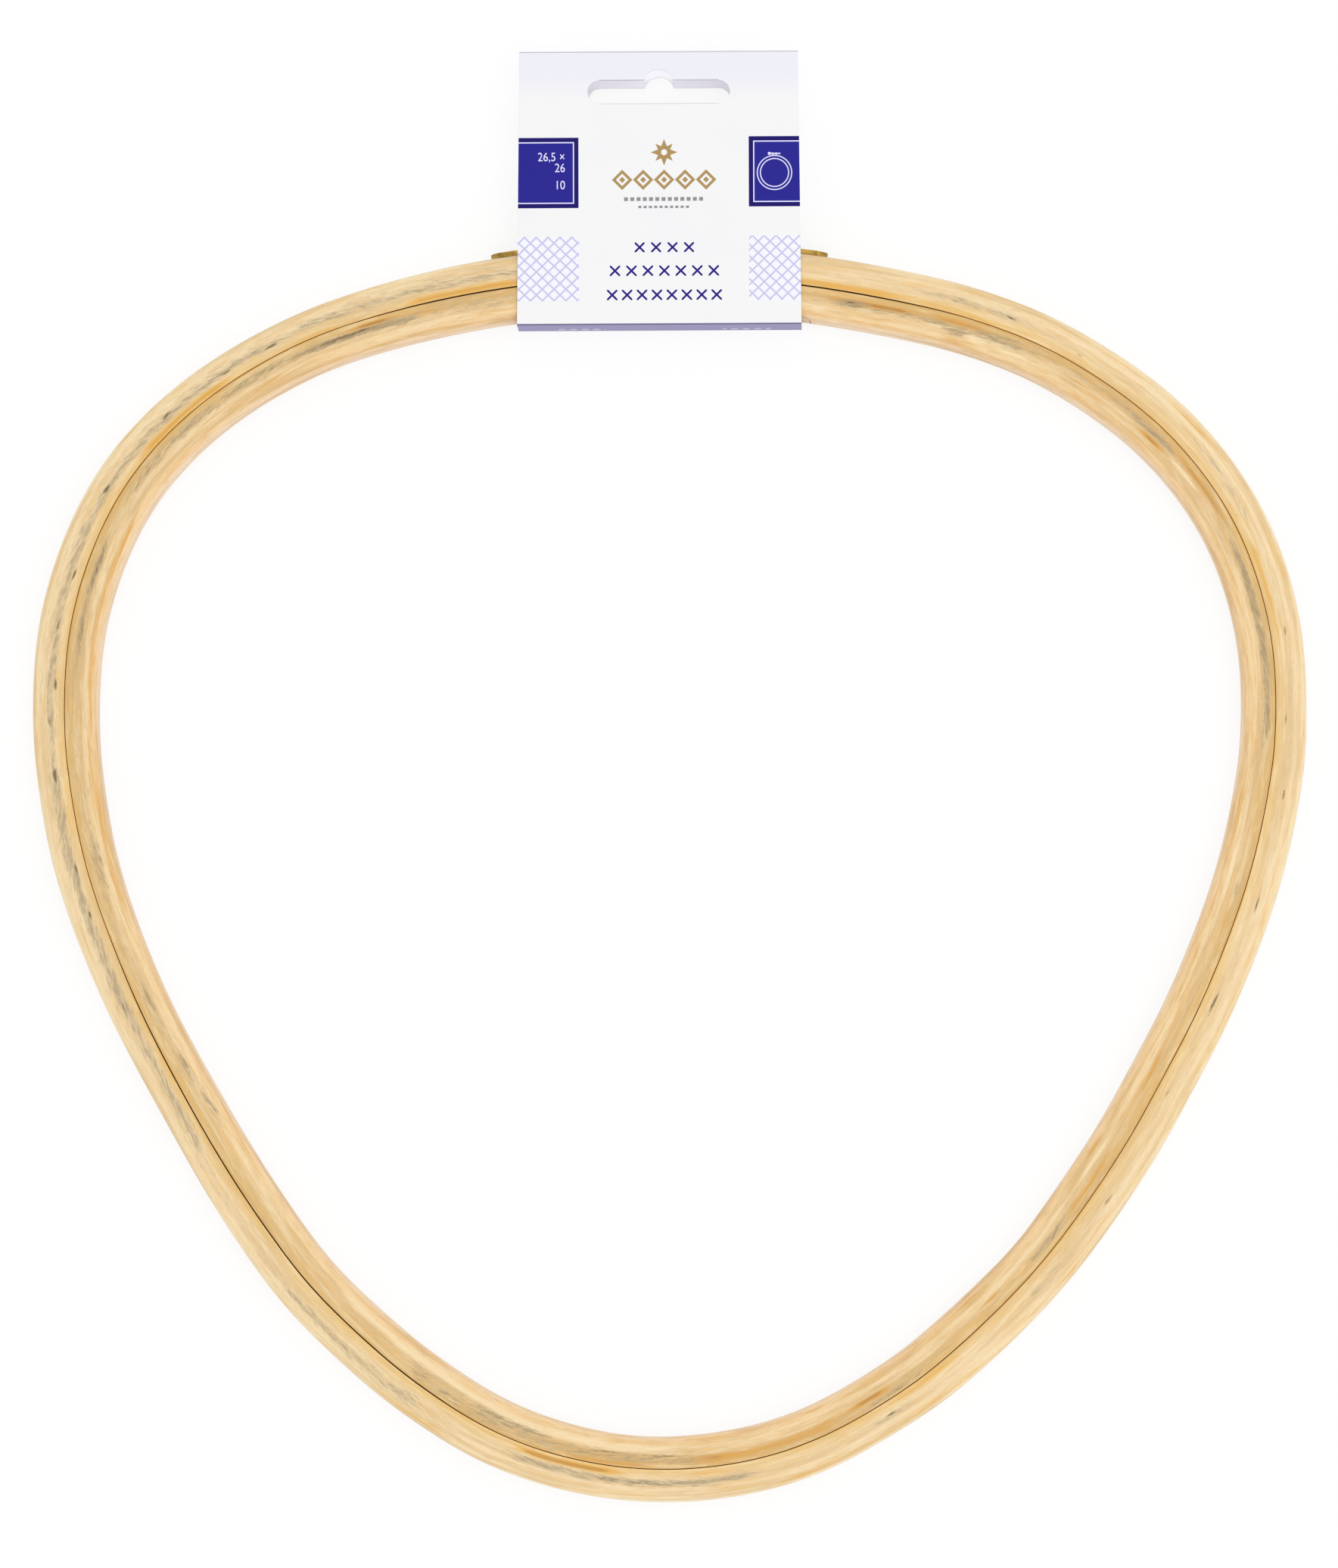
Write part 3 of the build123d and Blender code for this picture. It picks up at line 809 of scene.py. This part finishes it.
def printFinish():
    # printed card: every mark is a mask worked out from the place on the card in millimetres
    sheet = Finish("printed_card_front", {"Roughness": 0.5, "IOR": 1.46, "Specular IOR Level": 0.15})
    place = sheet.place()
    x, y, z = [part / mm for part in sheet.split(place)]
    soft, column = cardPrint["soft"], cardPrint["column"]

    def box(left, right, bottom, top):
        return x.within(left, right, soft) * y.within(bottom, top, soft)

    def stroke(distance, half):
        # 1 where the distance is less than half, with a soft edge
        return distance.ease(half + soft, half - soft)

    speck, cloud = cardGrain(sheet, place, (4, 2, 9))
    board, paintedTopShade = paint(cardPrint["board"]), paint(cardPrint["paintedTopShade"])
    # the top of the front is painted a shade greyer, standing in for the shade where the real card curves
    # back
    sheet.colour = sheet.mix(y.ease(*cardPrint["topShadeRise"]), board, paintedTopShade)
    sheet.lay(cloud.ease(0.45, 0.75) * 0.25, cardPrint["boardCloud"])

    for area, (startX, startY) in cardPrint["lattices"]:
        across = (x - startX) / cardPrint["cell"][0]
        up = (y - startY) / cardPrint["cell"][1]
        rising, falling = [abs((run + 0.5) % 1.0 - 0.5) for run in (across - up, across + up)]
        ground = box(*area)
        sheet.lay(ground, cardPrint["latticeGround"])
        sheet.lay(ground * rising.least(falling).ease(*cardPrint["latticeFade"]), cardPrint["lattice"])

    gap = cardPrint["border"]
    for left, right, bottom, top in cardPrint["panels"]:
        for inset, tone in ((0, "darkBlue"), (gap, "pale"), (gap + cardPrint["borderLine"], "blue")):
            # the side that runs off the card stays where it is
            sides = (left + inset, right) if left > 0 else (left, right - inset)
            sheet.lay(box(*sides, bottom + inset, top - inset), cardPrint[tone])

    middleX, middleY = cardPrint["pictogram"]
    dx, dy = x - middleX, y - middleY
    squares = dx * dx + dy * dy
    away = squares.count("SQRT", squares)
    marks = [stroke(abs(away - radius), cardPrint["ringHalf"]) for radius in cardPrint["rings"]]
    marks += [box(middleX + left, middleX + right, middleY + bottom, middleY + top)
              for left, right, bottom, top in cardPrint["clampBoxes"]]
    for mark in marks:
        sheet.lay(mark, cardPrint["pale"])

    for count, pitch, bottom, top in cardPrint["stitches"]:
        # a row of cross stitches: the two diagonals of each cell
        left = column - count * pitch / 2
        cell = (x - left) % pitch - pitch / 2
        up = y - (bottom + top) / 2
        diagonals = stroke(abs(cell - up).least(abs(cell + up)), cardPrint["stitchHalf"])
        row = box(left, left + count * pitch, bottom, top) * stroke(abs(cell), (top - bottom) / 2)
        sheet.lay(diagonals * row, cardPrint["stitch"])

    for half, pitch, share, bottom, top in cardPrint["dashes"]:
        cell = (x - (column - half)) % pitch
        row = box(column - half, column + half, bottom, top)
        sheet.lay(row * cell.within(0.1, pitch * share, soft) * 0.85, cardPrint["grey"])

    # gold: an eight-pointed star, and a chain of lozenges under it
    taper = cardPrint["starTaper"]
    dx, dy = abs(x - column), abs(y - cardPrint["starY"])
    upright = stroke((dx + dy * taper).least(dx * taper + dy), cardPrint["starReach"][0])
    turnedX, turnedY = (dx + dy) * math.sqrt(0.5), abs(dx - dy) * math.sqrt(0.5)
    slanted = stroke(turnedX + turnedY * taper, cardPrint["starReach"][1])
    heart = (dx * dx + dy * dy).ease(*cardPrint["starHeart"])
    sheet.lay(upright.most(slanted) * (1 - heart), cardPrint["gold"])
    links, pitch, level = cardPrint["chain"]
    reach = links * pitch / 2
    lozenge = abs((x - (column - reach)) % pitch - pitch / 2) + abs(y - level)
    outline = stroke(abs(lozenge - cardPrint["chainRadius"]), cardPrint["chainHalf"])
    height = cardPrint["chainRise"]
    band = box(column - reach, column + reach, level - height, level + height)
    chain = outline.most(stroke(lozenge, cardPrint["chainDot"]))
    sheet.lay(chain * band, cardPrint["gold"])

    # thin grey lines where the cut edges catch less light: along the top, over the slot and under it
    away = abs(x - card["centreX"])
    slotTop = card["slotY"] + card["slotHeight"] / 2
    slotFoot = slotTop - card["slotHeight"]
    run = (card["slotWidth"] - card["slotHeight"]) / 2
    straight = away.ease(run + 0.2, run - 0.1)
    overSlot = y.within(slotTop, slotTop + 0.16, soft) * straight * away.ease(2.7, 2.9)
    underSlot = y.within(slotFoot - 0.16, slotFoot, soft) * straight * 0.5
    topEdge = (card["topY"] - y).ease(0.25, 0.15)
    sheet.lay(overSlot.most(topEdge).most(underSlot), cardPrint["edgeGrey"])
    # the crease: the spine's violet print carried over the fold, painted darker there as shade, and a dark
    # painted shadow line on the raw edge at the fold; then the card's raw edges and back below the printed
    # face
    unprinted = (z - card["frontFloor"]).ease(0.33, 0.30)
    fromFold = y - card["foldY"]
    sheet.lay(fromFold.ease(0.31, 0.21), cardPrint["creaseVioletShade"])
    sheet.lay(unprinted, cardPrint["rawEdge"])
    sheet.lay(unprinted * fromFold.ease(0.19, 0.09), cardPrint["creaseShadow"])
    sheet.feed("Base Color", sheet.colour)
    sheet.feed("Roughness", 0.46 + speck * 0.12)
    sheet.emboss(speck * 0.5 + cloud * 0.5, 0.08, 0.00005)
    return sheet


def boardFinish():
    # back panel and spine: white board outside, greyer inside, and the violet print of the spine
    sheet = Finish("printed_card_back", {"IOR": 1.46, "Specular IOR Level": 0.15, "Emission Strength": 1.0})
    place = sheet.place()
    x, y, z = [part / mm for part in sheet.split(place)]
    speck, cloud = cardGrain(sheet, place, (7, 1, 3))
    inside = (card["thickness"] - z).ease(0.09, 0.03)
    outside = (y - card["foldY"]).ease(0.13, 0.05)
    sheet.colour = sheet.mix(inside, paint(cardPrint["board"]), paint(cardPrint["inside"]))
    sheet.lay(cloud.ease(0.4, 0.75) * 0.3, cardPrint["insideCloud"])
    sheet.lay(outside, cardPrint["violet"])
    pitch = cardPrint["spinePitch"]
    lozenge = abs((x - card["centreX"]) % pitch - pitch / 2) + abs(z - cardPrint["spineLevel"]) * 0.8
    left, right = [x.within(start, end, 0.1) for start, end in cardPrint["spineGroups"]]
    marks = lozenge.ease(0.95, 0.85) * lozenge.ease(0.45, 0.55) * outside * (left + right)
    sheet.lay(marks, cardPrint["spineMark"])
    sheet.feed("Base Color", sheet.colour)

    # painted light: the inside face glows near the slot, most of all behind the hump, standing in for light
    # that comes in through the slot and stays between the panels
    away, up = abs(x - card["centreX"]), y - card["slotY"]
    nearSlot = inside * abs(up).ease(15, 1) * away.ease(27, 8)
    nearHump = inside * away.ease(5.5, 2.6) * up.ease(3.35, 4.75) * up.ease(9.15, 6.15)
    paintedSlotLight = sheet.mix(nearSlot, (0, 0, 0, 1), paint(cardPrint["paintedSlotLight"]))
    sheet.feed("Emission Color", sheet.mix(nearHump, paintedSlotLight, paint(cardPrint["paintedHumpLight"])))
    sheet.feed("Roughness", 0.48 + speck * 0.12)
    sheet.emboss(speck * 0.5 + cloud * 0.5, 0.08, 0.00005)
    return sheet


figures = {
    "rows": (("26,5 \u00d7", 127.4), ("26", 125.1), ("10", 121.5)),     # words and baseline
    "size": 2.6,
    "right": -21.24,
    "squeeze": 0.86,
    "rise": 0.008,
    "ink": ("#DAD6FA", "#F3F1FF"),
}


def cardFigures():
    # the plain figures of the size, set in type, made a mesh and laid on the card
    joined = bmesh.new()
    for words, baseline in figures["rows"]:
        curve = bpy.data.curves.new("figures", "FONT")
        curve.body = words
        curve.size = figures["size"]
        curve.extrude = figures["rise"]
        curve.align_x = "RIGHT"
        curve.resolution_u = 4
        holder = bpy.data.objects.new("figures", curve)
        bpy.context.scene.collection.objects.link(holder)
        bpy.context.view_layer.update()
        shown = holder.evaluated_get(bpy.context.evaluated_depsgraph_get())
        shape = bpy.data.meshes.new_from_object(shown)
        place = np.zeros(len(shape.vertices) * 3)
        shape.vertices.foreach_get("co", place)
        start = (figures["right"], baseline, card["frontFloor"] + card["thickness"])
        place = place.reshape(-1, 3) * (figures["squeeze"], 1, 1) + start
        shape.vertices.foreach_set("co", (place * mm).ravel())
        joined.from_mesh(shape)
        bpy.data.objects.remove(holder)
        bpy.data.curves.remove(curve)
        bpy.data.meshes.remove(shape)
    bmesh.ops.remove_doubles(joined, verts=joined.verts, dist=1e-8)
    bmesh.ops.recalc_face_normals(joined, faces=joined.faces)
    mesh = bpy.data.meshes.new("card_size_figures")
    joined.to_mesh(mesh)
    joined.free()
    piece = bpy.data.objects.new("card_size_figures", mesh)
    bpy.context.scene.collection.objects.link(piece)
    ink = Finish("figure_ink", {"Roughness": 0.5, "Specular IOR Level": 0.3})
    worn = ink.noise(ink.place(), (2400, 2400, 2400))
    ink.feed("Base Color", ink.mix(worn.ease(0.35, 0.7), *[paint(code) for code in figures["ink"]]))
    piece.data.materials.append(ink.material)
    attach(piece, "card_front")


def makeCard():
    front = cardPanel("card_front_sheet", card["frontFloor"], True)
    finishPiece(front, "card_front", printFinish(), ["card_front_panel"])
    back = cardPanel("card_back_sheet", 0.0, False)
    board = boardFinish()
    finishPiece(back, "root", board, ["card_back_panel"])
    spine = cardSpine()
    finishPiece(spine, "root", board, ["card_back_panel"])
    cardFigures()
    print("card sleeve folded and printed")


makeCard()


# Brass

brassLooks = {
    # fineness of the drawing lines along x, y and z, bright and deep tone, share of tarnish, roughness
    "strip": ((60, 1500, 9000), "#B8964C", "#8E7238", 0.5, 0.28),
    "nail": ((1800, 1800, 1800), "#DCC37C", "#C2A458", 0.35, 0.2),
    "turned": ((9000, 300, 300), "#DEC57E", "#BD9F54", 0.4, 0.2),
    "tarnish": "#6E5526",
}


def brassFinish(name, kind):
    # rolled or turned brass: drawing lines one way, a thin brown tarnish in patches
    fineness, bright, deep, tarnish, roughness = brassLooks[kind]
    brass = Finish(name, {"Metallic": 1.0})
    place = brass.place()
    lines = brass.noise(place, fineness, detail=3.0, roughness=0.6)
    patches = brass.noise(place, (420, 420, 420), (3, 8, 1), detail=4.0, roughness=0.6)
    pits = brass.noise(place, (2600, 2600, 2600), (5, 2, 7), detail=1.0)
    brass.colour = brass.mix(lines.ease(0.35, 0.7), paint(bright), paint(deep))
    brass.lay(patches.ease(0.52, 0.7) * tarnish, brassLooks["tarnish"])
    brass.feed("Base Color", brass.colour)
    brass.feed("Roughness", roughness + lines * 0.14 + patches.ease(0.5, 0.7) * 0.16)
    brass.emboss(lines * 0.7 - pits.ease(0.66, 0.74) * 0.5, 0.25, 0.00006)
    return brass


screw = {
    "line": (116.25117, 5.0),   # y and z of its axis
    "headEnd": -4.10,           # x from the clamp's middle, where the head and collar end
    "tip": 16.55,
    "radius": 2.0,
    "pitch": 0.7,
    "threadDepth": 0.40,
    "tipChamfer": 0.5,
    "runOut": 1.2,
}


def threadedShank():
    # thread: radius = outer radius - depth * triangle wave of (x / pitch - angle / full turn), fading out
    # under the head and held inside a cone at the tip
    x = np.arange(screw["headEnd"] - 0.02, screw["tip"], screw["pitch"] / 10)
    x = np.append(x, screw["tip"])[:, None]
    angle = np.linspace(0, 2 * np.pi, 49)[None, :-1]
    phase = np.mod(x / screw["pitch"] - angle / (2 * np.pi), 1)
    wave = np.clip(np.abs(2 * phase - 1) * 1.25 - 0.125, 0, 1)
    fade = np.clip((x - screw["headEnd"]) / screw["runOut"], 0, 1)
    radius = screw["radius"] - screw["threadDepth"] * wave * fade
    cone = screw["radius"] - np.maximum(x - (screw["tip"] - screw["tipChamfer"]), 0)
    radius = np.minimum(radius, cone)
    y = screw["line"][0] + radius * np.cos(angle)
    z = screw["line"][1] + radius * np.sin(angle)
    xs = np.broadcast_to(x + hoop["clampX"], y.shape)
    return skin("threaded_shank", np.stack([xs, y, z], axis=-1) * mm, wrapColumns=True, caps=True, sharp=30)


def makeScrew():
    # the head and collar are kept from the solid, cut off just past the collar; the shank gets its thread
    shank = threadedShank()
    head = bmesh.new()
    head.from_mesh(nodes["tension_screw"].data)
    bmesh.ops.remove_doubles(head, verts=head.verts, dist=1e-7)
    cut = ((screw["headEnd"] + hoop["clampX"]) * mm, 0, 0)
    everything = head.verts[:] + head.edges[:] + head.faces[:]
    bmesh.ops.bisect_plane(head, geom=everything, dist=1e-8, plane_co=cut, plane_no=(1, 0, 0),
                           clear_outer=True)
    rim = [edge for edge in head.edges if edge.is_boundary]
    bmesh.ops.holes_fill(head, edges=rim, sides=0)
    bmesh.ops.recalc_face_normals(head, faces=head.faces)
    head.from_mesh(shank.data)
    mesh = bpy.data.meshes.new("threaded_screw")
    head.to_mesh(mesh)
    head.free()
    bpy.data.objects.remove(shank)
    mesh.polygons.foreach_set("use_smooth", np.ones(len(mesh.polygons), bool))
    mesh.set_sharp_from_angle(angle=math.radians(32))
    piece = bpy.data.objects.new("threaded_screw", mesh)
    bpy.context.scene.collection.objects.link(piece)
    turned = brassFinish("screw_brass_turned", "turned")
    finishPiece(piece, "screw", turned, ["tension_screw"])


def dressNode(name, finish):
    # a solid whose shape is right keeps its mesh and takes this finish
    piece = nodes[name]
    if not piece.material_slots:
        piece.data.materials.append(finish.material)
    for place in piece.material_slots:
        place.material = finish.material


def makeClamp():
    makeScrew()
    strip = brassFinish("bracket_brass_strip", "strip")
    nail = brassFinish("pin_brass_domed", "nail")
    turned = brassFinish("nut_brass_turned", "turned")
    for side in ("left", "right"):
        dressNode("clamp_bracket_" + side, strip)
        dressNode("bracket_pins_" + side, nail)
    dressNode("tension_nut", turned)
    print("clamp finished")


makeClamp()


# Floor, light and camera

studio = {
    "floorSize": 6.0,
    "floorLevel": -0.0003,
    "floorColour": (0.93, 0.93, 0.93, 1),
    "plainShare": 0.8,          # of the floor that is plain white to the camera; the rest keeps the shadow
    "plainLevel": 1.03,
    "skyLight": 0.82,
    "keyPlace": (0.4, -0.1, 1.68),
    "keySize": 1.5,
    "keyPower": 8.0,
}


def makeStudio():
    half = studio["floorSize"] / 2
    corners = [(-half, -half), (half, -half), (half, half), (-half, half)]
    mesh = bpy.data.meshes.new("studio_floor")
    mesh.from_pydata([(x, y, studio["floorLevel"]) for x, y in corners], [], [(0, 1, 2, 3)])
    floor = bpy.data.objects.new("studio_floor", mesh)
    bpy.context.scene.collection.objects.link(floor)
    constants = {"Base Color": studio["floorColour"], "Roughness": 0.9, "Specular IOR Level": 0.0}
    ground = Finish("studio_white", constants)
    white = {"Color": (1, 1, 1, 1), "Strength": studio["plainLevel"]}
    plain = ground.add("ShaderNodeEmission", None, white)
    lit = Flow(ground, ground.shader.outputs[0])
    share = ground.seenPlain() * studio["plainShare"]
    both = ground.add("ShaderNodeMixShader", None, {0: share, 1: lit, 2: plain})
    ground.fill(ground.tree.nodes["Material Output"].inputs["Surface"], both)
    mesh.materials.append(ground.material)

    world = bpy.data.worlds.new("studio")
    bpy.context.scene.world = world
    world.use_nodes = True
    sky = Nodes(world.node_tree)
    background = sky.tree.nodes["Background"]
    background.inputs["Color"].default_value = (1, 1, 1, 1)
    sky.fill(background.inputs["Strength"], sky.seenPlain() * (1 - studio["skyLight"]) + studio["skyLight"])

    lamp = bpy.data.lights.new("key_light", "AREA")
    lamp.shape = "SQUARE"
    lamp.size = studio["keySize"]
    lamp.energy = studio["keyPower"]
    key = bpy.data.objects.new("key_light", lamp)
    key.location = studio["keyPlace"]
    key.rotation_euler = aimed(studio["keyPlace"], (0, 0, 0))
    bpy.context.scene.collection.objects.link(key)
    print("studio lit")


def aimed(place, target):
    # turn that points a lamp's own -Z from place to target
    x, y, z = (t - p for t, p in zip(target, place))
    return (math.atan2(math.hypot(x, y), -z), 0, math.atan2(y, x) - math.pi / 2)


viewpoint = {
    "place": (0.02647, -0.11488, 1.55029),
    "tilt": 0.0728,             # radians about x, then y and then the line of sight
    "swing": 0.0172,
    "roll": -0.0027,
    "focal": 9879.58,           # in pixels of the 1768 x 2072 picture
    "pictureHeight": 2072,
    "sensor": 36.0,             # mm, along the picture's longer side
    "near": 0.01,
    "far": 30.0,
}


def makeCamera():
    lens = bpy.data.cameras.new("photo_view")
    lens.sensor_fit = "AUTO"
    lens.sensor_width = viewpoint["sensor"]
    lens.lens = viewpoint["focal"] * viewpoint["sensor"] / viewpoint["pictureHeight"]
    lens.clip_start = viewpoint["near"]
    lens.clip_end = viewpoint["far"]
    camera = bpy.data.objects.new("photo_view", lens)
    camera.location = viewpoint["place"]
    camera.rotation_mode = "ZXY"
    camera.rotation_euler = (viewpoint["tilt"], viewpoint["swing"], viewpoint["roll"])
    bpy.context.scene.collection.objects.link(camera)
    bpy.context.scene.camera = camera
    bpy.context.scene.view_settings.view_transform = "Standard"
    print("camera placed")


makeStudio()
makeCamera()
